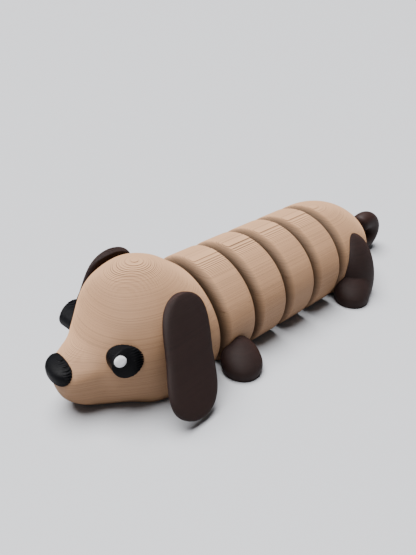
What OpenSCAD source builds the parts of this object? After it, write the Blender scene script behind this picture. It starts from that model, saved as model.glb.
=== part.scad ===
/* [Body] */
// Half the width of the body at its widest level
body_r = 21; // [18:0.5:26]
// Height of the widest level above the floor, as a share of body_r
mid_level = 0.75; // [0.7:0.01:0.8]
// Height of the back above the widest level, as a share of body_r
back_rise = 0.905; // [0.8:0.005:1]
// Depth that the flanks curve towards, as a share of body_r
belly_drop = 1.05; // [1:0.01:1.2]
// Distance from one segment's rear rim to the next, as a share of body_r
rim_pitch = 0.757; // [0.7:0.001:0.85]
// Free space between a rear rim and the next front face
gap = 2.9; // [2.5:0.1:3.5]
// How far the rounding of a front edge reaches along the body
round_along = 2.4; // [2:0.1:4]
// How far the rounding of a front edge reaches in from the flank
round_in = 4.2; // [3:0.1:6]

/* [Hinges] */
// Diameter of each hinge pin
pin_d = 4; // [3:0.1:4.5]
// Radial play between a pin and the knuckle that turns on it
pin_play = 0.1; // [0.05:0.01:0.1]
// Distance from a rear rim forward to its hinge pin
pin_inset = 4.6; // [4.4:0.1:5]
// Outer radius of the knuckle
knuckle_r = 4; // [3.6:0.1:4.1]
// Width of the neck that carries the knuckle
neck_w = 4.4; // [3.6:0.1:4.8]
// Space round the knuckle in its socket
socket_play = 0.6; // [0.4:0.1:0.8]
// Floor of the socket above the table
socket_z0 = 4.5; // [4:0.5:6]
// Roof of the socket above the table
socket_z1 = 23; // [20:0.5:24]

/* [Head] */
// Radius of an eye's disc
eye_r = 4.9; // [4.5:0.1:5.2]
// Rise of the eye's face from its edge to its middle
eye_dome = 0.6; // [0.4:0.1:1]
// Radius of the white spot in an eye
spot_r = 1.85; // [1.5:0.05:2]
// Thickness of an ear
ear_t = 3.2; // [2.6:0.1:4.2]
// Lean of an ear out from upright, in degrees
ear_lean = 20; // [16:1:24]

/* [Legs and tail] */
// Radius of a front paw
paw_r = 7.6; // [6:0.1:7.8]
// Height of a front paw
paw_h = 12.5; // [10:0.5:15]
// Radius of a hind foot
foot_r = 7.2; // [6:0.1:7.6]
// Height of a hind foot
foot_h = 11; // [8:0.5:12]
// Radius of the tail's tube at its root
tail_r = 4.5; // [3.6:0.1:4.6]

/* [Hidden] */

tan_plastic = [0.80, 0.66, 0.53];
brown_plastic = [0.27, 0.19, 0.17];
black_plastic = [0.05, 0.05, 0.06];
white_plastic = [0.95, 0.95, 0.95];

R = body_r;
segment_count = 4;
pitch = rim_pitch*R;
mid_z = mid_level*R;
back_b = back_rise*R;
belly_b = belly_drop*R;
seg_len = pitch - gap;

// The nose's centre and half sizes, and the curl of the tail, from the head's rear
// rim and the last segment's rear rim, as shares of body_r
nose_at = [0, -2.21, 0.78];
nose_size = [0.28, 0.20, 0.22];
curl_at = [2.27, 0.47];
curl_size = [0.32, 0.26];
tail_start = -165;
tail_sweep = 293;
tail_taper = 0.2;

// The floor under the middle of the whole length is the origin
reach_front = (nose_size[1] - nose_at[1])*R;
reach_back = (curl_at[0] + curl_size[0])*R + tail_r*(1 + tail_taper*tail_start/tail_sweep);
head_y = (reach_front - segment_count*pitch - reach_back)/2;
rim_y = [for (i = [0:segment_count]) head_y + i*pitch];
last_rim_y = rim_y[segment_count];
rump_y = last_rim_y + gap;

ring_n = 48;
fine = 64;
hull_fine = 32;
slab = 0.01;

// Stations of the head from its rear rim to its nose, as shares of body_r:
// place, half width, height of the widest level, top, depth the cheeks curve towards
head_stations = [
    [ 0.00, 0.985, 0.75, 1.64, -0.30],
    [-0.15, 1.00,  0.76, 1.76, -0.36],
    [-0.40, 1.02,  0.80, 1.94, -0.50],
    [-0.75, 1.02,  0.85, 2.06, -0.66],
    [-1.10, 0.97,  0.85, 2.02, -0.56],
    [-1.40, 0.84,  0.83, 1.88, -0.24],
    [-1.64, 0.67,  0.78, 1.50, -0.14],
    [-1.84, 0.50,  0.74, 1.17, -0.08],
    [-2.02, 0.41,  0.70, 1.04,  0.02],
    [-2.18, 0.33,  0.67, 0.95,  0.17],
    [-2.28, 0.24,  0.62, 0.84,  0.31],
    [-2.33, 0.10,  0.58, 0.68,  0.46]];
rings_per_station = 2;

// A smooth curve through b and c, with a and d as their neighbours
function spline(a, b, c, d, t) =
    0.5*((2*b) + (c - a)*t + (2*a - 5*b + 4*c - d)*t*t + (3*b - a - 3*c + d)*t*t*t);
function head_at(u) =
    let (n = len(head_stations) - 1, i = min(floor(u), n - 1))
    spline(head_stations[max(i - 1, 0)], head_stations[i], head_stations[i + 1],
        head_stations[min(i + 2, n)], u - i);

// A ring round the body: an ellipse over the widest level, a deeper one under it,
// and a straight chord where it meets the floor
function ring(y, w, mid, top, low) =
    let (start = low >= 0 ? 80 : min(80, asin(min(1, mid/(mid - low)))))
    [for (k = [0:ring_n - 1])
        let (a = -start + (180 + 2*start)*k/(ring_n - 1))
        [w*cos(a), y, max(0, mid + (a > 0 && a < 180 ? top - mid : mid - low)*sin(a))]];
function inset_ring(y, d) = ring(y, R - d, mid_z, mid_z + back_b - d, mid_z - belly_b + d);

// A closed skin over rings of n points each, the first ring in front
module loft(rings, n = ring_n) {
    last = (len(rings) - 1)*n;
    polyhedron(
        points = [for (r = rings, p = r) p],
        faces = concat(
            [[for (k = [n - 1:-1:0]) k]],
            [[for (k = [0:n - 1]) last + k]],
            [for (j = [0:len(rings) - 2], k = [0:n - 1])
                let (a = j*n + k, b = j*n + (k + 1)%n)
                [a, b + n, a + n]],
            [for (j = [0:len(rings) - 2], k = [0:n - 1])
                let (a = j*n + k, b = j*n + (k + 1)%n)
                [a, b, b + n]]),
        convexity = 6);
}

// Rings of a rounded front edge that starts at y
front_steps = 5;
function front_rings(y) =
    [for (k = [0:front_steps]) let (a = 90*k/front_steps)
        inset_ring(y + round_along*(1 - cos(a)), round_in*(1 - sin(a)))];

module segment_form(y) loft(concat(front_rings(y), [inset_ring(y + seg_len, 0)]));

// The rump runs straight and then closes in a dome that sinks a little
rump_straight = 0.20*R;
rump_round = 1.36*R;
rump_sink = 0.28;
function rump_ring(a) =
    let (c = cos(a), mid = mid_z*(1 - rump_sink + rump_sink*c))
    ring(rump_y + rump_straight + rump_round*sin(a), R*pow(c, 0.9),
        mid, mid + back_b*c, mid - belly_b*c);
module rump_form()
    loft(concat(front_rings(rump_y), [for (a = [0:12:84]) rump_ring(a)]));

module head_form() {
    steps = rings_per_station*(len(head_stations) - 1);
    loft([for (k = [steps:-1:0]) let (s = head_at(k/rings_per_station))
        ring(head_y + s[0]*R, s[1]*R, s[2]*R, s[3]*R, s[4]*R)]);
}

module at_right(side) mirror([side < 0 ? 1 : 0, 0, 0]) children();

// Knuckle and neck in front of the face at face_y, reaching to the pin at pin_y
module knuckle(face_y, pin_y) {
    h = socket_z1 - socket_z0 - 2*socket_play;
    translate([0, pin_y, socket_z0 + socket_play]) {
        cylinder(r = knuckle_r, h = h, $fn = fine);
        translate([-neck_w/2, 0, 0]) cube([neck_w, face_y - pin_y + 1, h]);
    }
}
module knuckle_bore(pin_y)
    translate([0, pin_y, socket_z0])
        cylinder(d = pin_d + 2*pin_play, h = socket_z1 - socket_z0, $fn = fine);

// Socket cut into the rear face at y, with the bore that holds its pin
socket_w = 2*(knuckle_r + socket_play);
pin_z0 = 0.6;
pin_z1 = socket_z1 + 4;
module socket(y) {
    h = socket_z1 - socket_z0;
    translate([0, y - pin_inset, 0]) {
        translate([0, 0, socket_z0]) cylinder(r = knuckle_r + socket_play, h = h, $fn = fine);
        translate([-socket_w/2, 0, socket_z0]) cube([socket_w, pin_inset + 1, h]);
        translate([0, 0, -1]) cylinder(d = pin_d, h = pin_z1 + 1, $fn = fine);
    }
}
module hinge_pin(i) color(tan_plastic)
    translate([0, rim_y[i - 1] - pin_inset, pin_z0])
        cylinder(d = pin_d, h = pin_z1 - pin_z0, $fn = fine);

module segment(i) color(tan_plastic) difference() {
    union() {
        segment_form(rim_y[i - 1] + gap);
        knuckle(rim_y[i - 1] + gap, rim_y[i - 1] - pin_inset);
    }
    knuckle_bore(rim_y[i - 1] - pin_inset);
    socket(rim_y[i]);
}

module rump() color(tan_plastic) difference() {
    union() {
        rump_form();
        knuckle(rump_y, last_rim_y - pin_inset);
    }
    knuckle_bore(last_rim_y - pin_inset);
}

// An eye is a disc set across the slope from muzzle to cheek, so that its front edge
// stands proud; its axis is turned back and lifted from straight ahead
eye_at = [0.80*R, head_y - 1.57*R, 1.06*R];
eye_turn = 78;
eye_lift = 10;
eye_depth = 6;
eye_ball_r = (eye_r*eye_r + eye_dome*eye_dome)/(2*eye_dome);
spot_shift = [-2.3, 1.5];
spot_proud = 0.25;
spot_depth = 1.5;
module at_eye(side) at_right(side)
    translate(eye_at) rotate([0, 0, eye_turn]) rotate([90 - eye_lift, 0, 0]) children();
module eye_plug() intersection() {
    translate([0, 0, -eye_depth]) cylinder(r = eye_r, h = 3*eye_depth, $fn = fine);
    translate([0, 0, eye_dome - eye_ball_r]) sphere(r = eye_ball_r, $fn = fine);
}
module spot_plug() intersection() {
    translate([spot_shift[0], spot_shift[1], -spot_depth]) cylinder(r = spot_r, h = 2*spot_depth, $fn = fine);
    translate([0, 0, eye_dome + spot_proud - eye_ball_r]) sphere(r = eye_ball_r, $fn = fine);
}
module eye(side) color(black_plastic) at_eye(side) difference() {
    eye_plug();
    spot_plug();
}
module eye_spot(side) color(white_plastic) at_eye(side) spot_plug();

// The nose is the front of an egg, flat where it is joined to the muzzle
nose_sunk = 0.06;
module nose_form() intersection() {
    hull() translate([0, head_y + nose_at[1]*R, nose_at[2]*R])
        scale(nose_size*R) sphere(r = 1, $fn = hull_fine);
    translate([-R, head_y + (nose_at[1] + nose_sunk - 1)*R, 0]) cube([2*R, R, 2*R]);
}
module nose() color(black_plastic) nose_form();

module head() color(tan_plastic) difference() {
    head_form();
    nose_form();
    at_eye(1) eye_plug();
    at_eye(-1) eye_plug();
    socket(rim_y[0]);
}

// An ear is a leaning slab with round ends, drawn as a hull of two discs
ear_yaw = 4;
ear_top = [1.01, -0.69, 1.43];
ear_low = [1.36, -0.86, 0.53];
ear_top_r = 0.40*R;
ear_low_r = 0.45*R;
module ear_disc(at, r)
    translate(at*R + [0, head_y, 0]) rotate([0, 0, ear_yaw]) rotate([0, 90 - ear_lean, 0])
        cylinder(r = r, h = ear_t, center = true, $fn = hull_fine);
module ear(side) color(brown_plastic) at_right(side) difference() {
    hull() {
        ear_disc(ear_top, ear_top_r);
        ear_disc(ear_low, ear_low_r);
    }
    head_form();
}

// A stub that widens a little over the floor and ends in a dome set inwards
module paw_form(r, h) hull() {
    cylinder(r = 0.94*r, h = slab, $fn = hull_fine);
    translate([0, 0, 0.15*h]) cylinder(r = r, h = slab, $fn = hull_fine);
    translate([-0.2*r, 0, 0.52*h]) scale([0.77*r, 0.77*r, 0.48*h]) sphere(r = 1, $fn = hull_fine);
}
paw_at = [1.13, -0.38];
module front_paw(side) color(brown_plastic) at_right(side) difference() {
    translate([paw_at[0]*R, rim_y[1] + paw_at[1]*R, 0]) paw_form(paw_r, paw_h);
    segment_form(rim_y[0] + gap);
}

// A hind leg is a leaning egg of a thigh behind a foot
foot_at = [1.12, 0.41];
thigh_at = [0.96, 0.69, 0.57];
thigh_size = [0.29, 0.39, 0.74];
thigh_lean = 15;
module hind_leg(side) color(brown_plastic) at_right(side) difference() {
    union() {
        translate([foot_at[0]*R, last_rim_y + foot_at[1]*R, 0]) paw_form(foot_r, foot_h);
        intersection() {
            hull() translate(thigh_at*R + [0, last_rim_y, 0]) rotate([0, -thigh_lean, 0])
                scale(thigh_size*R) sphere(r = 1, $fn = hull_fine);
            translate([0, last_rim_y, 0]) cube([2*R, 2*R, 2*R]);
        }
    }
    rump_form();
}

// The tail leaves the rump low, runs along the floor and curls up and forward
tail_steps = 36;
tail_sides = 12;
root_stretch = 1.8;
root_share = 0.3;
function tail_point(t) =
    let (a = tail_start + tail_sweep*t, g = 1 + root_stretch*pow(max(0, 1 - t/root_share), 2))
    [0, last_rim_y + (curl_at[0] + curl_size[0]*g*cos(a))*R, (curl_at[1] + curl_size[1]*sin(a))*R];
function tail_ring(t) =
    let (q = tail_point(t + 0.01) - tail_point(t - 0.01), d = q/norm(q),
        s = tail_r*(1 - tail_taper*t))
    [for (k = [0:tail_sides - 1]) let (a = -360*k/tail_sides)
        tail_point(t) + s*cos(a)*[1, 0, 0] + s*sin(a)*[0, -d[2], d[1]]];
module tail() color(brown_plastic) difference() {
    loft([for (i = [0:tail_steps]) tail_ring(i/tail_steps)], tail_sides);
    rump_form();
}

head();
nose();
eye(1);  // left_eye
eye(-1);  // right_eye
eye_spot(1);  // left_eye_spot
eye_spot(-1);  // right_eye_spot
ear(1);  // left_ear
ear(-1);  // right_ear
for (i = [1:segment_count]) segment(i);
front_paw(1);  // left_front_paw
front_paw(-1);  // right_front_paw
rump();
hind_leg(1);  // left_hind_leg
hind_leg(-1);  // right_hind_leg
tail();
for (i = [1:segment_count + 1]) hinge_pin(i);
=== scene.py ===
import bpy
import numpy as np
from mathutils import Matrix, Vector


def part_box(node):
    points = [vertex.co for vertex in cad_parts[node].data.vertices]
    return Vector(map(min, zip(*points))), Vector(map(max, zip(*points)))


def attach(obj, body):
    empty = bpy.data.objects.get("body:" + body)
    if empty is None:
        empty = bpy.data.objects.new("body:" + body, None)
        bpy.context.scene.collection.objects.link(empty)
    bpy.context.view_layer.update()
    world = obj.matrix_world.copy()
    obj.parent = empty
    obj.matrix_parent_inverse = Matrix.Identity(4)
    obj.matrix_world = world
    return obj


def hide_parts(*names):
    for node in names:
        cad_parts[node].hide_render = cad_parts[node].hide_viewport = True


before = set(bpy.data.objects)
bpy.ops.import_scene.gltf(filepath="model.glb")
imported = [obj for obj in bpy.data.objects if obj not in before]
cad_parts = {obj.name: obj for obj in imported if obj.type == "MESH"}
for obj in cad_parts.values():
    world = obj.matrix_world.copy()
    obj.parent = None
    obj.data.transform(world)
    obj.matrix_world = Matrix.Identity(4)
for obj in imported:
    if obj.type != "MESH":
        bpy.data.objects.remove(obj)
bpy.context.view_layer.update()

# Everything below is worked out in millimetres and turned into metres when a mesh is made
metre = 0.001
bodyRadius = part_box("segment_2")[1].x / metre
rimY = [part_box(node)[1].y / metre for node in ("head", "segment_1", "segment_2", "segment_3", "segment_4")]
rng = np.random.default_rng(7)
tiny = 1e-6         # keeps a division off zero

printing = {
    "layer": 0.2,        # height of one printed layer
    "edge": 0.14,        # share of a layer that its rounded edge takes, above and below
    "faintest": 0.6,     # depth of shade in the faintest contour line, where the deepest has 1
    "grid": 64,          # places tried across a small piece to find the middle of a layer
    "halvings": 22,      # steps in which the outline of a small piece is closed in on
    "reach": 3.0,        # how far out they start, as a share of the half axes
}

body = {
    "midLevel": 0.75,    # widest level, as a share of the radius
    "backRise": 0.905,   # height of the back above it, and depth of the belly below it
    "bellyDrop": 1.05,
    "gap": 2.9,
    "roundAlong": 2.4,   # the rounding of a front edge, along the body and inwards
    "roundIn": 4.2,
    "pinInset": 4.6,     # from a rear face forward to the pin in it
    "socketHalf": 4.6,
    "socketLow": 4.5,
    "socketHigh": 23.0,
    "knuckleRadius": 4.0,
    "knucklePlay": 0.6,
    "neckHalf": 2.2,
    "boreRadius": 2.1,
    "paintedShadeFall": 1.1,  # how fast the painted shade of a gap falls off round its front edge
    "paintedShadeRim": 0.1,   # share of the radius over which the painted shade begins behind a rear rim
    "sidePoints": 52,    # points along half an outline: its side, and its rear face
    "rearPoints": 26,
}


# A mesh object from whole arrays of corners and faces, with hard lines where sharp says.
def meshPiece(name, points, quads, triangles, material, sharp=None, shades=None):
    mesh = bpy.data.meshes.new(name)
    mesh.vertices.add(len(points))
    mesh.vertices.foreach_set("co", (points * metre).astype(np.float32).ravel())
    corners = np.concatenate([quads.ravel(), triangles.ravel()]).astype(np.int32)
    mesh.loops.add(len(corners))
    mesh.loops.foreach_set("vertex_index", corners)
    starts = np.concatenate([np.arange(len(quads)) * 4, len(quads) * 4 + np.arange(len(triangles)) * 3])
    mesh.polygons.add(len(starts))
    mesh.polygons.foreach_set("loop_start", starts.astype(np.int32))
    mesh.update(calc_edges=True)
    mesh.shade_smooth()
    if sharp is not None:
        ends = np.zeros(len(mesh.edges) * 2, np.int32)
        mesh.edges.foreach_get("vertices", ends)
        ends = ends.reshape(-1, 2)
        hard = mesh.attributes.new("sharp_edge", "BOOLEAN", "EDGE")
        hard.data.foreach_set("value", sharp(ends[:, 0], ends[:, 1]))
    for word, values in (shades or {}).items():
        shade = mesh.attributes.new(word, "FLOAT", "POINT")
        shade.data.foreach_set("value", values.astype(np.float32))
    piece = bpy.data.objects.new(name, mesh)
    bpy.context.scene.collection.objects.link(piece)
    piece.data.materials.append(material)
    return piece


# Quads between each ring and the next above it, and triangles across the two ends.
def stackFaces(ringCount, n):
    base = (np.arange(ringCount - 1) * n)[:, None]
    i = np.arange(n)[None, :]
    j = (i + 1) % n
    quads = np.stack(np.broadcast_arrays(base + i, base + j, base + n + j, base + n + i), -1)
    k = np.arange(1, n // 2 - 1)
    fan = np.concatenate([
        [[0, 1, n - 1]],
        np.stack([k, k + 1, n - k - 1], 1),
        np.stack([k, n - k - 1, n - k], 1),
        [[n // 2 - 1, n // 2, n // 2 + 1]]])
    return quads.reshape(-1, 4), np.concatenate([fan[:, ::-1], fan + (ringCount - 1) * n])


# Outlines of printed layers, one ring at the foot and one at the head of each, closed at both ends.
# One point attribute paints shade into the crease at the foot of each layer: 0 at the head of a layer
# and its own depth at the foot. The other paints shade into gaps, from 0 to 1 by how deep in a gap a point is.
def layeredPiece(name, outlines, bottoms, material, extra=None, paintGapShade=None):
    k, n, _ = outlines.shape
    h, e = printing["layer"], printing["edge"]
    z = np.stack([bottoms + e * h, bottoms + (1 - e) * h], 1)
    z[0, 0], z[-1, 1] = bottoms[0], bottoms[-1] + h
    flat = np.repeat(outlines[:, None], 2, 1)
    points = np.concatenate([flat, np.broadcast_to(z[:, :, None, None], (k, 2, n, 1))], -1).reshape(-1, 3)
    # Painted shade in the crease at the foot of each layer: a random depth for each layer, none at its head
    foot = np.stack([rng.uniform(printing["faintest"], 1, k), np.zeros(k)], 1)
    paintedCreaseShade = np.repeat(foot.ravel(), n)
    # Painted shade deep in the gaps between parts
    paintedGapShade = np.zeros(len(points)) if paintGapShade is None else paintGapShade(points)
    quads, triangles = stackFaces(2 * k, n)
    if extra is not None:
        quads = np.concatenate([quads, extra[1] + len(points)])
        points = np.concatenate([points, extra[0]])
        paintedCreaseShade = np.concatenate([paintedCreaseShade, np.zeros(len(extra[0]))])
        # The hinge knuckle lies deep in a gap and gets all of the painted shade
        paintedGapShade = np.concatenate([paintedGapShade, np.ones(len(extra[0]))])
    shades = {"paintedCreaseShade": paintedCreaseShade, "paintedGapShade": paintedGapShade}
    return meshPiece(name, points, quads, triangles, material, lambda a, b: a // n == b // n, shades)


# Inset of the skin at y behind a front face: a quarter of an ellipse.
def roundedFront(y):
    t = np.clip(1 - y / body["roundAlong"], 0, 1)
    return body["roundIn"] * (1 - np.sqrt(1 - t * t))


# Painted shade in the gaps between parts, by how deep in a gap a point is: from 1 on a front face to 0
# where its rounding ends, and from 1 on a rear face to 0 at the rim, by the share of the way in from the flank.
def gapPaintedShade(frontY, rearY):
    def depth(points):
        front = np.zeros(len(points))
        if frontY is not None:
            front = np.clip(1 - (points[:, 1] - frontY) / body["roundAlong"], 0, 1) ** body["paintedShadeFall"]
        if rearY is None:
            return front
        level = (points[:, 2] / bodyRadius - body["midLevel"]) / body["backRise"]
        inward = 1 - np.hypot(points[:, 0] / bodyRadius, level)
        rear = np.where(points[:, 1] > rearY - 0.01, np.clip(inward / body["paintedShadeRim"], 0, 1), 0)
        return np.maximum(front, rear)
    return depth


# Height over the widest level as a share of the top's, or depth under it as a share of the lowest's.
def shareOfHeight(z, mid, top, low):
    above = (z - mid) / np.maximum(top - mid, tiny)
    below = (mid - z) / np.maximum(mid - low, tiny)
    return np.where(z > mid, above, below)


# Half outlines at each height of a skin whose cross-sections are half ellipses above and below
# their widest level: x is the half width by the root of 1 less the share's square. table holds y,
# half width, widest level, top and depth. Returns arrays of layers by points.
def slices(table, heights):
    y, width, mid, top, low = table
    z = heights[:, None]
    room = 1 - shareOfHeight(z, mid, top, low) ** 2
    first = np.argmax(room > 0, 1)
    last = len(y) - 1 - np.argmax((room > 0)[:, ::-1], 1)
    row = np.arange(len(heights))

    def crossing(inner, outer):
        a, b = room[row, inner], room[row, np.clip(outer, 0, len(y) - 1)]
        share = np.where(b < 0, a / np.maximum(a - b, 1e-9), 0)
        return y[inner] + share * (y[np.clip(outer, 0, len(y) - 1)] - y[inner])

    start, end = crossing(first, first - 1), crossing(last, last + 1)
    u = 0.5 - 0.5 * np.cos(np.linspace(0, np.pi, 400))
    ys = start[:, None] + (end - start)[:, None] * u
    w, m, t, d = (np.interp(ys, y, v) for v in (width, mid, top, low))
    xs = w * np.sqrt(np.clip(1 - shareOfHeight(z, m, t, d) ** 2, 0, None))
    xs[first > 0, 0] = 0
    xs[last < len(y) - 1, -1] = 0
    return xs, ys


# Points at the given shares of the length of each row's line.
def along(xs, ys, share):
    step = np.hypot(np.diff(xs, axis=1), np.diff(ys, axis=1))
    run = np.concatenate([np.zeros((len(xs), 1)), np.cumsum(step, 1)], 1)
    run /= run[:, -1:]
    pick = [np.stack([np.interp(s, r, x), np.interp(s, r, y)], -1) for r, x, y, s in zip(run, xs, ys, share)]
    return np.stack(pick)


# A whole ring, anticlockwise from the front, from its right half: the left half is its mirror
# image.
def mirrored(half):
    return np.concatenate([half, half[:, -2:0:-1] * [-1, 1]], 1)


# Right half of the rear face at y with the hinge's socket in it: wall, straight side, round end.
def socketLine(y, count):
    r, pinY = body["socketHalf"], y - body["pinInset"]
    turn = np.linspace(0, np.pi / 2, count - 3)
    bend = np.stack([r * np.cos(turn), pinY - r * np.sin(turn)], 1)
    return np.concatenate([[[r, y], [r, (y + pinY) / 2]], bend])


# Whole outlines. The side runs from the front to the rear corner, and the rear face across it with
# the socket.
def bodyOutlines(table, heights, sidePoints, rearPoints, rearY=None):
    xs, ys = slices(table, heights)
    front = xs[:, :1] > 0
    xs = np.concatenate([np.zeros_like(xs[:, :1]), xs], 1)
    ys = np.concatenate([np.where(front, ys[:, :1], ys[:, :1] - 1e-4), ys], 1)
    total = sidePoints + rearPoints
    if rearY is None:
        return mirrored(along(xs, ys, np.broadcast_to(np.linspace(0, 1, total), (len(xs), total))))
    side = np.hypot(np.diff(xs, axis=1), np.diff(ys, axis=1)).sum(1)
    rear = xs[:, -1]
    count = np.clip(np.round((total - 1) * side / (side + rear)).astype(int), 2, total - 1)
    count[heights < body["socketHigh"] + 2 * printing["layer"]] = sidePoints
    halves = []
    for k, z in enumerate(heights):
        c = count[k]
        flank = along(xs[k:k + 1], ys[k:k + 1], [np.linspace(0, 1, c + 1)])[0]
        if body["socketLow"] < z < body["socketHigh"]:
            wall = socketLine(rearY, total - c - 3)
            face = np.stack([np.linspace(rear[k], body["socketHalf"], 5)[1:-1], np.full(3, rearY)], 1)
            tail = np.concatenate([face, wall])
        else:
            tail = np.stack([np.linspace(rear[k], 0, total - c)[1:], np.full(total - c - 1, rearY)], 1)
        halves.append(np.concatenate([flank, tail]))
    return mirrored(np.stack(halves))


def layerBottoms(top, low=0.0):
    return low + np.arange(int((top - low) / printing["layer"] + 0.5)) * printing["layer"]


# Upright ring round the hinge pin with its neck: outer and inner outlines as distances from the
# pin.
def knuckle(faceY, pinY):
    n = 72
    a = np.linspace(0, 2 * np.pi, n, endpoint=False)
    half, reach = body["neckHalf"], faceY + 1 - pinY
    c, s = np.cos(a), np.sin(a)
    toSide, toEnd = half / np.maximum(np.abs(s), tiny), reach / np.maximum(c, tiny)
    neck = np.where(c > 0, np.minimum(toSide, toEnd), 0)
    outer = np.maximum(body["knuckleRadius"], neck)
    low = body["socketLow"] + body["knucklePlay"]
    high = body["socketHigh"] - body["knucklePlay"]
    shape = np.stack([-s, c], 1)
    bore = np.full(n, body["boreRadius"])
    rings = [(outer, low), (outer, high), (bore, high), (bore, low)]
    points = np.concatenate([
        np.column_stack([shape * r[:, None] + [0, pinY], np.full(n, z)]) for r, z in rings])
    i = np.arange(n)
    j = (i + 1) % n
    quads = np.concatenate([
        np.stack([p * n + i, p * n + j, ((p + 1) % 4) * n + j, ((p + 1) % 4) * n + i], 1) for p in range(4)])
    return points, quads


# Outline of a solid at each height, found from a point inside it: the largest share of each
# direction that is still inside, by halving. The directions go round an ellipse whose two half
# axes are the rows of spread.
def starOutlines(inside, centres, spread, n):
    t = np.linspace(0, 2 * np.pi, n, endpoint=False)
    direction = np.cos(t)[:, None] * spread[0] + np.sin(t)[:, None] * spread[1]
    low = np.zeros((len(centres), n))
    high = np.full((len(centres), n), printing["reach"])
    for _ in range(printing["halvings"]):
        middle = (low + high) / 2
        x = centres[:, None, 0] + middle * direction[:, 0]
        y = centres[:, None, 1] + middle * direction[:, 1]
        isIn = inside(x, y, np.broadcast_to(centres[:, None, 2], x.shape))
        low, high = np.where(isIn, middle, low), np.where(isIn, high, middle)
    return centres[:, None, :2] + low[..., None] * direction


# A printed piece sliced into layers. inside says which points are in the solid, and box holds its
# lowest and highest corner. The middle of each layer is the mean of the grid points inside it, and
# the half axes come from how all those points spread.
def starPiece(name, inside, box, n, material):
    low, high = np.array(box[0]), np.array(box[1])
    bottoms = layerBottoms(high[2], low[2])
    heights = bottoms + printing["layer"] / 2
    x, y = (np.linspace(low[k], high[k], printing["grid"]) for k in (0, 1))
    z, y, x = np.meshgrid(heights, y, x, indexing="ij")
    mask = inside(x, y, z)
    count = mask.sum((1, 2))
    keep = count > 0
    middle = np.stack([(x * mask).sum((1, 2)), (y * mask).sum((1, 2))], 1)[keep] / count[keep, None]
    centres = np.column_stack([middle, heights[keep]])
    layer = np.nonzero(mask)[0]
    off = np.stack([x[mask], y[mask]], 1) - middle[(np.cumsum(keep) - 1)[layer]]
    size, axes = np.linalg.eigh(off.T @ off / len(off))
    spread = 2 * np.sqrt(size)[:, None] * axes.T
    if spread[0, 0] * spread[1, 1] - spread[0, 1] * spread[1, 0] < 0:
        spread[1] *= -1
    return layeredPiece(name, starOutlines(inside, centres, spread, n), bottoms[keep], material)


# Turns a solid on the left side, given by its inside and box, into its mirror image for side -1
def onSide(side, inside, box):
    (x0, y0, z0), (x1, y1, z1) = box
    low, high = min(side * x0, side * x1), max(side * x0, side * x1)
    return lambda x, y, z: inside(side * x, y, z), ((low, y0, z0), (high, y1, z1))


plasticLook = {
    "layerScale": (22, 22, 2600),    # noise drawn out along the layers
    "layerDetail": 3.0,
    "blotchScale": 70,
    "blotchDetail": 4.0,
    "noiseLow": 0.3, "noiseHigh": 0.7,    # the range that most of the noise lies in
    "ridge": 0.25,
    "ridgeHeight": 0.00006,
    "creaseShadePower": 3,     # how narrow the painted shade line in the crease at the foot of a layer is
    "paintedGapShadeStrength": 0.8,     # share of its colour that a surface loses to painted shade deep in a gap
}
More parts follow.
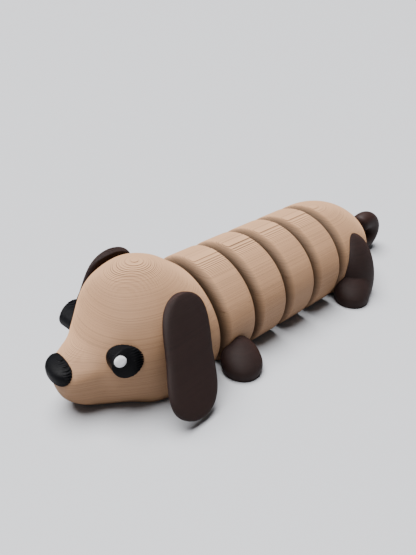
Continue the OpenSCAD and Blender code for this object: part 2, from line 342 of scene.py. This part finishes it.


# Printed plastic: each layer a shade of its own, faint mottling, ridges one layer high, painted shade as a dark
# line in the crease at the foot of each layer, and painted shade deep in the gaps between parts.
def plastic(name, colour, roughness, specular=0.4, contrast=0.035, mottle=0.03, creaseShadeDepth=0.95):
    look = plasticLook
    mat = bpy.data.materials.new(name)
    mat.use_nodes = True
    nodes, links = mat.node_tree.nodes, mat.node_tree.links
    shader = nodes["Principled BSDF"]
    shader.inputs["Roughness"].default_value = roughness
    shader.inputs["Specular IOR Level"].default_value = specular
    where = nodes.new("ShaderNodeTexCoord")
    stretch = nodes.new("ShaderNodeMapping")
    stretch.inputs["Scale"].default_value = look["layerScale"]
    layers = nodes.new("ShaderNodeTexNoise")
    layers.inputs["Scale"].default_value = 1.0
    layers.inputs["Detail"].default_value = look["layerDetail"]
    blotch = nodes.new("ShaderNodeTexNoise")
    blotch.inputs["Scale"].default_value = look["blotchScale"]
    blotch.inputs["Detail"].default_value = look["blotchDetail"]
    shade = nodes.new("ShaderNodeMapRange")
    shade.inputs["From Min"].default_value = look["noiseLow"]
    shade.inputs["From Max"].default_value = look["noiseHigh"]
    shade.inputs["To Min"].default_value = 1 - contrast
    shade.inputs["To Max"].default_value = 1 + contrast
    drift = nodes.new("ShaderNodeMapRange")
    drift.inputs["From Min"].default_value = look["noiseLow"]
    drift.inputs["From Max"].default_value = look["noiseHigh"]
    drift.inputs["To Min"].default_value = 1 - mottle
    drift.inputs["To Max"].default_value = 1 + mottle
    both = nodes.new("ShaderNodeMath")
    both.operation = "MULTIPLY"
    # Painted shade: a narrow dark line in the crease at the foot of each layer
    paintedCreaseShade = nodes.new("ShaderNodeAttribute")
    paintedCreaseShade.attribute_name = "paintedCreaseShade"
    narrow = nodes.new("ShaderNodeMath")
    narrow.operation = "POWER"
    narrow.inputs[1].default_value = look["creaseShadePower"]
    line = nodes.new("ShaderNodeMapRange")
    line.inputs["To Min"].default_value = 1
    line.inputs["To Max"].default_value = 1 - creaseShadeDepth
    creaseShaded = nodes.new("ShaderNodeMath")
    creaseShaded.operation = "MULTIPLY"
    # Painted shade: the surface loses colour deep in the gaps between parts
    paintedGapShade = nodes.new("ShaderNodeAttribute")
    paintedGapShade.attribute_name = "paintedGapShade"
    paintedGapShadeRange = nodes.new("ShaderNodeMapRange")
    paintedGapShadeRange.inputs["To Min"].default_value = 1
    paintedGapShadeRange.inputs["To Max"].default_value = 1 - look["paintedGapShadeStrength"]
    paintedGapShaded = nodes.new("ShaderNodeMath")
    paintedGapShaded.operation = "MULTIPLY"
    tint = nodes.new("ShaderNodeVectorMath")
    tint.operation = "SCALE"
    tint.inputs[0].default_value = colour
    bump = nodes.new("ShaderNodeBump")
    bump.inputs["Strength"].default_value = look["ridge"]
    bump.inputs["Distance"].default_value = look["ridgeHeight"]
    links.new(where.outputs["Object"], stretch.inputs["Vector"])
    links.new(where.outputs["Object"], blotch.inputs["Vector"])
    links.new(stretch.outputs["Vector"], layers.inputs["Vector"])
    links.new(layers.outputs["Fac"], shade.inputs["Value"])
    links.new(blotch.outputs["Fac"], drift.inputs["Value"])
    links.new(shade.outputs["Result"], both.inputs[0])
    links.new(drift.outputs["Result"], both.inputs[1])
    links.new(paintedCreaseShade.outputs["Fac"], narrow.inputs[0])
    links.new(narrow.outputs["Value"], line.inputs["Value"])
    links.new(both.outputs["Value"], creaseShaded.inputs[0])
    links.new(line.outputs["Result"], creaseShaded.inputs[1])
    links.new(paintedGapShade.outputs["Fac"], paintedGapShadeRange.inputs["Value"])
    links.new(creaseShaded.outputs["Value"], paintedGapShaded.inputs[0])
    links.new(paintedGapShadeRange.outputs["Result"], paintedGapShaded.inputs[1])
    links.new(paintedGapShaded.outputs["Value"], tint.inputs["Scale"])
    links.new(tint.outputs["Vector"], shader.inputs["Base Color"])
    links.new(layers.outputs["Fac"], bump.inputs["Height"])
    links.new(bump.outputs["Normal"], shader.inputs["Normal"])
    return mat


tanPlastic = plastic("tanPlastic", (0.375, 0.213, 0.115), 0.62, specular=0.25)
brownPlastic = plastic("brownPlastic", (0.018, 0.0072, 0.0056), 0.6, specular=0.18, contrast=0.12)
blackPlastic = plastic("blackPlastic", (0.002, 0.002, 0.003), 0.42, specular=0.07, contrast=0.15)
whitePlastic = plastic("whitePlastic", (0.80, 0.80, 0.82), 0.45, contrast=0.02, mottle=0.01, creaseShadeDepth=0.15)


def place(piece, bodyName, slot, *nodes):
    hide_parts(*nodes)
    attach(piece, bodyName)


# A plain stretch of body: every half width and height is the full one less the front's inset.
def segmentTable(frontY, rearY):
    y = np.linspace(frontY, rearY, 1500)
    d = roundedFront(y - frontY)
    mid = np.full_like(y, body["midLevel"] * bodyRadius)
    back, belly = body["backRise"] * bodyRadius - d, body["bellyDrop"] * bodyRadius - d
    return y, bodyRadius - d, mid, mid + back, mid - belly


for index in range(1, 5):
    frontY, rearY = rimY[index - 1] + body["gap"], rimY[index]
    table = segmentTable(frontY, rearY)
    bottoms = layerBottoms(table[3].max())
    heights = bottoms + printing["layer"] / 2
    rings = bodyOutlines(table, heights, body["sidePoints"], body["rearPoints"], rearY)
    hinge = knuckle(frontY, rimY[index - 1] - body["pinInset"])
    piece = layeredPiece(f"ring_{index}", rings, bottoms, tanPlastic, hinge, gapPaintedShade(frontY, rearY))
    place(piece, f"segment_{index}", "tan", f"segment_{index}")
print("rings of the body made")


rump = {"straight": 0.20, "dome": 1.36, "sink": 0.28, "blunt": 0.9, "sidePoints": 70}


# Straight behind its rounded front, then a dome whose middle sinks a little.
def rumpTable():
    frontY = rimY[4] + body["gap"]
    a = np.linspace(0, np.pi / 2, 900)[:-1]
    domeY = frontY + (rump["straight"] + rump["dome"] * np.sin(a)) * bodyRadius
    c = np.cos(a)
    mid = body["midLevel"] * bodyRadius * (1 - rump["sink"] + rump["sink"] * c)
    back, belly = body["backRise"] * bodyRadius * c, body["bellyDrop"] * bodyRadius * c
    dome = [domeY, bodyRadius * c ** rump["blunt"], mid, mid + back, mid - belly]
    straight = segmentTable(frontY, domeY[0])
    return [np.concatenate([s[:-1], d]) for s, d in zip(straight, dome)]


table = rumpTable()
bottoms = layerBottoms(table[3].max())
rings = bodyOutlines(table, bottoms + printing["layer"] / 2, rump["sidePoints"], body["rearPoints"])
hinge = knuckle(rimY[4] + body["gap"], rimY[4] - body["pinInset"])
piece = layeredPiece("rump_shell", rings, bottoms, tanPlastic, hinge, gapPaintedShade(rimY[4] + body["gap"], None))
place(piece, "rump", "tan", "rump")
print("rump made")


# Place behind the nose, half width, widest level, top and depth of the cheeks, as shares of the radius
headStations = np.array([
    [0.00, 0.985, 0.75, 1.64, -0.30], [-0.15, 1.00, 0.76, 1.76, -0.36], [-0.40, 1.02, 0.80, 1.94, -0.50],
    [-0.75, 1.02, 0.85, 2.06, -0.66], [-1.10, 0.97, 0.85, 2.02, -0.56], [-1.40, 0.84, 0.83, 1.88, -0.24],
    [-1.64, 0.67, 0.78, 1.50, -0.14], [-1.84, 0.50, 0.74, 1.17, -0.08], [-2.02, 0.41, 0.70, 1.04, 0.02],
    [-2.18, 0.33, 0.67, 0.95, 0.17], [-2.28, 0.24, 0.62, 0.84, 0.31], [-2.33, 0.10, 0.58, 0.68, 0.46]])


# A smooth curve through every row of a table, steps points to a stretch (Catmull and Rom's).
def smoothRows(rows, steps):
    padded = np.concatenate([rows[:1], rows, rows[-1:]])
    u = np.linspace(0, len(rows) - 1, steps * (len(rows) - 1) + 1)
    i = np.minimum(u.astype(int), len(rows) - 2)
    t = (u - i)[:, None]
    a, b, c, d = (padded[i + k] for k in range(4))
    return 0.5 * (2 * b + (c - a) * t + (2 * a - 5 * b + 4 * c - d) * t ** 2 + (3 * b - a - 3 * c + d) * t ** 3)


head = {"stepsPerStation": 150, "sidePoints": 88}
rows = smoothRows(headStations, head["stepsPerStation"])[::-1] * bodyRadius
table = [rows[:, 0] + rimY[0]] + [rows[:, k] for k in range(1, 5)]
bottoms = layerBottoms(table[3].max())
heights = bottoms + printing["layer"] / 2
rings = bodyOutlines(table, heights, head["sidePoints"], body["rearPoints"], rimY[0])
piece = layeredPiece("head_shell", rings, bottoms, tanPlastic, paintGapShade=gapPaintedShade(None, rimY[0]))
place(piece, "head", "tan", "head")
print("head made")


# Directions of a piece that faces sideways: along its axis, towards the tail and up its face
def facing(turn, lift):
    turn, lift = np.radians(turn), np.radians(lift)
    axis = np.array([np.sin(turn) * np.cos(lift), -np.cos(turn) * np.cos(lift), np.sin(lift)])
    across = np.array([np.cos(turn), np.sin(turn), 0])
    return axis, across, np.cross(axis, across)


# A point's places along three directions from a centre
def localTo(centre, directions, x, y, z):
    dx, dy, dz = x - centre[0], y - centre[1], z - centre[2]
    return [dx * d[0] + dy * d[1] + dz * d[2] for d in directions]


# The box round a ball, as lowest and highest corner
def ballBox(centre, radius):
    return tuple(np.array(centre) - radius), tuple(np.array(centre) + radius)


eye = {
    "at": (0.80, -1.57, 1.06),    # centre of its face, as shares of the radius, from the head's rim
    "turn": 78, "lift": 10,       # degrees from straight ahead, and up
    "radius": 4.9, "dome": 0.6, "depth": 6.0,
    "spotAt": (-2.3, 1.5), "spotRadius": 1.85, "spotProud": 0.25, "spotDepth": 1.5,
    "tooth": 0.3,                 # how far the ragged rear border is cut in and out
    "points": 96, "spotPoints": 64,
    "room": 8, "spotRoom": 6,     # from their centre to each side of the boxes they are sliced in
}
toothPitch = 0.8    # four layers to a tooth of a ragged colour border
eyeCentre = np.array(eye["at"]) * bodyRadius + [0, rimY[0], 0]
eyeDirections = facing(eye["turn"], eye["lift"])


# Ragged border between two colours: 1 and -1 by turns as the height rises
def teeth(z):
    return np.where(np.mod(z, toothPitch) < toothPitch / 2, 1.0, -1.0)


# A round plug whose face is a shallow dome: a disc's outline, between its depth and a parabola. Its
# rear half, which lies level with the cheek, is ragged
def insideEye(x, y, z):
    out, across, up = localTo(eyeCentre, eyeDirections, x, y, z)
    share = (across ** 2 + up ** 2) / eye["radius"] ** 2
    ragged = eye["tooth"] * teeth(z) * np.clip(across / eye["radius"], 0, 1) ** 2
    return (share < 1) & (out > -eye["depth"]) & (out < eye["dome"] * (1 - share) + ragged)


# The same for the white spot, which follows the eye's dome a little above it
def insideSpot(x, y, z):
    out, across, up = localTo(eyeCentre, eyeDirections, x, y, z)
    share = (across ** 2 + up ** 2) / eye["radius"] ** 2
    off = np.hypot(across - eye["spotAt"][0], up - eye["spotAt"][1]) / eye["spotRadius"]
    proud = eye["dome"] * (1 - share) + eye["spotProud"] * (1 - off ** 4)
    return (off < 1) & (out > -eye["spotDepth"]) & (out < proud)


eyeBox, spotBox = ballBox(eyeCentre, eye["room"]), ballBox(eyeCentre, eye["spotRoom"])
for side, word in ((1, "left"), (-1, "right")):
    ball = starPiece(f"{word}_eye_disc", *onSide(side, insideEye, eyeBox), eye["points"], blackPlastic)
    place(ball, "head", "black", f"{word}_eye")
    dot = starPiece(f"{word}_eye_dot", *onSide(side, insideSpot, spotBox), eye["spotPoints"], whitePlastic)
    place(dot, "head", "white", f"{word}_eye_spot")
print("eyes made")


nose = {
    "at": (0, -2.21, 0.78), "half": (0.28, 0.20, 0.22),
    "sunk": 0.06, "square": 2.2,
    "tooth": 0.045,               # how far its rear border is cut in and out, fading forwards
    "toothStart": 1.1, "toothFade": 2.4,
    "points": 120, "room": 6.5,
}
noseCentre = np.array(nose["at"]) * bodyRadius + [0, rimY[0], 0]


# The front of an egg whose cross-section is a little squarer than an ellipse, ragged at the back
def insideNose(x, y, z):
    off = localTo(noseCentre, np.eye(3), x, y, z)
    a, b, c = (np.abs(v) / (h * bodyRadius) for v, h in zip(off, nose["half"]))
    ragged = nose["tooth"] * teeth(z) * np.clip(nose["toothStart"] - nose["toothFade"] * b, 0, 1)
    shape = a ** nose["square"] + b ** 2 + c ** nose["square"]
    return (shape < 1 + ragged) & (y < noseCentre[1] + nose["sunk"] * bodyRadius)


noseBox = ballBox(noseCentre, nose["room"])
tip = starPiece("nose_tip", insideNose, noseBox, nose["points"], blackPlastic)
place(tip, "head", "black", "nose")
print("nose made")


ear = {
    "top": (1.01, -0.69, 1.43), "low": (1.36, -0.86, 0.53),    # middles of its round ends
    "topRadius": 0.44, "lowRadius": 0.46,
    "yaw": 4, "lean": 20,
    "thickness": 3.2,
    "waist": 0.42, "flareUp": 0.0, "flareDown": 0.09,          # half width in the middle, and its change
    "closeUp": 4.5, "closeDown": 3.8, "closeRound": 0.45,      # how late and how round its ends close
    "edgePower": 7, "facePower": 2.2, "edgeClose": 0.5,        # how square its section is
    "cup": 0.5,                                                # how far its lower end bends outwards
    "points": 120,
}


def earFrame():
    top, low = (np.array(ear[k]) * bodyRadius + [0, rimY[0], 0] for k in ("top", "low"))
    yaw, lean = np.radians(ear["yaw"]), np.radians(ear["lean"])
    outward = np.array([np.cos(lean) * np.cos(yaw), np.cos(lean) * np.sin(yaw), np.sin(lean)])
    down = low - top - np.dot(low - top, outward) * outward
    reach = np.linalg.norm(down)
    down /= reach
    start = top - down * ear["topRadius"] * bodyRadius
    length = reach + (ear["topRadius"] + ear["lowRadius"]) * bodyRadius
    return start, (outward, down, np.cross(outward, down)), length


earStart, earDirections, earLength = earFrame()


# A leaning slab: its half width swells downwards and closes at both ends like a squared circle, its
# edges are rounded the same way, and its lower half bends outwards a little
def insideEar(x, y, z):
    out, down, across = localTo(earStart, earDirections, x, y, z)
    m = 2 * down / earLength - 1
    late = np.where(m < 0, ear["closeUp"], ear["closeDown"])
    close = np.clip(1 - np.abs(m) ** late, 0, None) ** ear["closeRound"]
    swell = np.where(m < 0, ear["flareUp"], ear["flareDown"])
    half = (ear["waist"] + swell * m) * close * bodyRadius
    share = np.abs(across) / np.maximum(half, tiny)
    depth = np.abs(out - ear["cup"] * m * np.abs(m)) * 2 / ear["thickness"]
    section = share ** ear["edgePower"] + depth ** ear["facePower"]
    return (np.abs(m) < 1) & (section < close ** ear["edgeClose"])


earBox = (
    (0.75 * bodyRadius, rimY[0] - 1.45 * bodyRadius, 0),
    (1.75 * bodyRadius, rimY[0] - 0.1 * bodyRadius, 42))
for side, word in ((1, "left"), (-1, "right")):
    flap = starPiece(f"{word}_ear_flap", *onSide(side, insideEar, earBox), ear["points"], brownPlastic)
    place(flap, "head", "brown", f"{word}_ear")
print("ears made")


paw = {
    "at": (1.13, -0.38), "radius": 7.6, "height": 12.8,
    "top": 2.2, "draw": 0.6, "lean": 0.3, "tuck": 0.14,
    "points": 112,
}
foot = {
    "at": (1.12, 0.39), "radius": 7.1, "height": 11.5,
    "top": 2.4, "draw": 0.55, "lean": 0.16, "tuck": 0.1,
}
thigh = {
    "at": (0.95, 0.66, 0.56), "half": (0.30, 0.41, 0.75), "lean": 15, "forward": 9,
    "blend": 4.5,                 # the higher, the tighter the hollow between it and the foot
    "points": 128,
}
tuckHeight = 0.35                 # share of a stub's height below which it is tucked in


# How far out of a stub a point is, as a share of its radius less one: the radius falls with height
# by a power curve, is tucked in just over the floor, and the stub leans in towards the body
def stub(shape, rim, x, y, z):
    share = np.clip(z / shape["height"], 0, 1)
    radius = shape["radius"] * np.clip(1 - share ** shape["top"], 0, None) ** shape["draw"]
    radius = radius * (1 - shape["tuck"] * np.clip(1 - share / tuckHeight, 0, 1) ** 2)
    dx = x - shape["at"][0] * bodyRadius + shape["lean"] * shape["radius"] * share
    dy = y - rim - shape["at"][1] * bodyRadius
    out = np.hypot(dx, dy) / np.maximum(radius, tiny) - 1
    over = (z - shape["height"]) / shape["radius"]
    return np.where((z < shape["height"]) & (z > 0), out, np.maximum(out, over))


# How far out of the thigh a point is, in the same measure: an egg that leans in and forward
def thighOut(x, y, z):
    lean, forward = np.radians(thigh["lean"]), np.radians(thigh["forward"])
    centre = np.array(thigh["at"]) * bodyRadius + [0, rimY[4], 0]
    upward = np.array([-np.sin(lean), -np.sin(forward), np.cos(lean)])
    upward /= np.linalg.norm(upward)
    side = np.array([np.cos(lean), 0, np.sin(lean)])
    a, b, c = localTo(centre, (side, np.cross(upward, side), upward), x, y, z)
    half = np.array(thigh["half"]) * bodyRadius
    return np.sqrt((a / half[0]) ** 2 + (b / half[1]) ** 2 + (c / half[2]) ** 2) - 1


# Foot and thigh run into each other: the nearer they both are, the more of the hollow is filled
def insideLeg(x, y, z):
    k = thigh["blend"]
    near = np.exp(-k * stub(foot, rimY[4], x, y, z)) + np.exp(-k * thighOut(x, y, z))
    return (near > 1) & (z > 0)


def insidePaw(x, y, z):
    return stub(paw, rimY[1], x, y, z) < 0


# The box round the left leg that stands at a place by a rim
def legBox(at, rim, half, height):
    x, y = at[0] * bodyRadius, at[1] * bodyRadius + rim
    return (x - half, y - half, 0), (x + half, y + half, height)


pawBox = legBox(paw["at"], rimY[1], 9.5, 13.5)
haunchBox = legBox((1.0, 0.55), rimY[4], 13, 29)
for side, word in ((1, "left"), (-1, "right")):
    stump = starPiece(f"{word}_front_leg", *onSide(side, insidePaw, pawBox), paw["points"], brownPlastic)
    place(stump, "segment_1", "brown", f"{word}_front_paw")
    haunch = starPiece(f"{word}_haunch", *onSide(side, insideLeg, haunchBox), thigh["points"], brownPlastic)
    place(haunch, "rump", "brown", f"{word}_hind_leg")
print("legs made")


tail = {
    "at": (2.26, 0.455), "size": (0.315, 0.265),   # middle and half sizes of the curl, from the last rim
    "start": -165, "sweep": 293,                   # degrees round the curl
    "radius": 4.9, "taper": 0.14,
    "stretch": 1.8, "stretchShare": 0.3,           # the root reaches forward into the rump
    "roundShare": 0.93, "roundEnd": 0.995,         # where the rounding of the tip begins and is cut off
    "steps": 240, "sides": 72,
    "glance": 0.004,                               # how far along it the direction is taken from
}


# Middle line of the tail: part of an ellipse whose first share is stretched forward.
def tailLine(t):
    a = np.radians(tail["start"] + tail["sweep"] * t)
    g = 1 + tail["stretch"] * np.clip(1 - t / tail["stretchShare"], 0, None) ** 2
    y = rimY[4] + (tail["at"][0] + tail["size"][0] * g * np.cos(a)) * bodyRadius
    z = (tail["at"][1] + tail["size"][1] * np.sin(a)) * bodyRadius
    return np.stack([np.zeros_like(t), y, z], -1)


# A round tube carried along the curl, getting thinner by a straight line and closed by a round tip
def tailPiece():
    t = np.linspace(0, 1, tail["steps"])
    ahead = tailLine(t + tail["glance"]) - tailLine(t - tail["glance"])
    ahead /= np.linalg.norm(ahead, axis=1)[:, None]
    tip = np.clip((t - tail["roundShare"]) / (1 - tail["roundShare"]), 0, tail["roundEnd"])
    radius = tail["radius"] * (1 - tail["taper"] * t) * np.sqrt(1 - tip ** 2)
    a = np.linspace(0, 2 * np.pi, tail["sides"], endpoint=False)
    upward = np.stack([np.zeros_like(t), -ahead[:, 2], ahead[:, 1]], -1)
    ring = np.cos(a)[None, :, None] * [1, 0, 0] + np.sin(a)[None, :, None] * upward[:, None]
    points = tailLine(t)[:, None] + radius[:, None, None] * ring
    points[..., 2] = np.maximum(points[..., 2], 0)
    quads, triangles = stackFaces(tail["steps"], tail["sides"])
    return meshPiece("tail_curl", points.reshape(-1, 3), quads[:, ::-1], triangles[:, ::-1], brownPlastic)


place(tailPiece(), "rump", "brown", "tail")
print("tail made")

for node in ("hinge_pin_1", "hinge_pin_2", "hinge_pin_3", "hinge_pin_4", "hinge_pin_5"):
    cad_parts[node].data.materials.clear()
    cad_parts[node].data.materials.append(tanPlastic)


stage = {
    "floorColour": (0.37, 0.374, 0.392), "floorRoughness": 0.75, "floorHalf": 4,
    "sunFrom": (-0.16, -0.06, 0.8), "sunSpread": 46, "sunStrength": 11.5,
    "roomColour": (0.93, 0.95, 1.0), "roomSeen": 0.95, "roomCast": 0.14,
}
view = {
    "at": (5.632, -5.899, 5.897),    # in radii, from the middle of the body on the floor
    "direction": (-0.6333, 0.5623, -0.5317),
    "lens": 33.86, "sensor": 36, "nearest": 0.005,
}


def material(name, colour, roughness):
    mat = bpy.data.materials.new(name)
    mat.use_nodes = True
    shader = mat.node_tree.nodes["Principled BSDF"]
    shader.inputs["Base Color"].default_value = (*colour, 1)
    shader.inputs["Roughness"].default_value = roughness
    return mat


def floorPiece():
    mesh = bpy.data.meshes.new("floor")
    h = stage["floorHalf"]
    mesh.from_pydata([(-h, -h, 0), (h, -h, 0), (h, h, 0), (-h, h, 0)], [], [(0, 1, 2, 3)])
    floor = bpy.data.objects.new("floor", mesh)
    bpy.context.scene.collection.objects.link(floor)
    floor.data.materials.append(material("paleFloor", stage["floorColour"], stage["floorRoughness"]))


# A wide soft light from high up, even over the whole floor
def studioLight(direction, spread, strength):
    light = bpy.data.lights.new("studioLight", "SUN")
    light.angle = np.radians(spread)
    light.energy = strength
    lamp = bpy.data.objects.new("studioLight", light)
    lamp.rotation_euler = Vector(direction).to_track_quat("Z", "Y").to_euler()
    bpy.context.scene.collection.objects.link(lamp)


# A pale room that is seen bright but lights the shadows only a little
def room(colour, seen, cast):
    world = bpy.data.worlds.new("room")
    world.use_nodes = True
    nodes, links = world.node_tree.nodes, world.node_tree.links
    background = nodes["Background"]
    background.inputs["Color"].default_value = (*colour, 1)
    rays = nodes.new("ShaderNodeLightPath")
    strength = nodes.new("ShaderNodeMapRange")
    strength.inputs["To Min"].default_value = cast
    strength.inputs["To Max"].default_value = seen
    links.new(rays.outputs["Is Camera Ray"], strength.inputs["Value"])
    links.new(strength.outputs["Result"], background.inputs["Strength"])
    bpy.context.scene.world = world


def camera():
    radius = bodyRadius * metre
    cam = bpy.data.objects.new("camera", bpy.data.cameras.new("camera"))
    cam.data.lens = view["lens"]
    cam.data.sensor_width = view["sensor"]
    cam.data.clip_start = view["nearest"]
    cam.location = Vector(view["at"]) * radius + Vector((0, rimY[2] * metre, 0))
    cam.rotation_euler = Vector(view["direction"]).to_track_quat("-Z", "Y").to_euler()
    bpy.context.scene.collection.objects.link(cam)
    bpy.context.scene.camera = cam


floorPiece()
studioLight(stage["sunFrom"], stage["sunSpread"], stage["sunStrength"])
room(stage["roomColour"], stage["roomSeen"], stage["roomCast"])
camera()
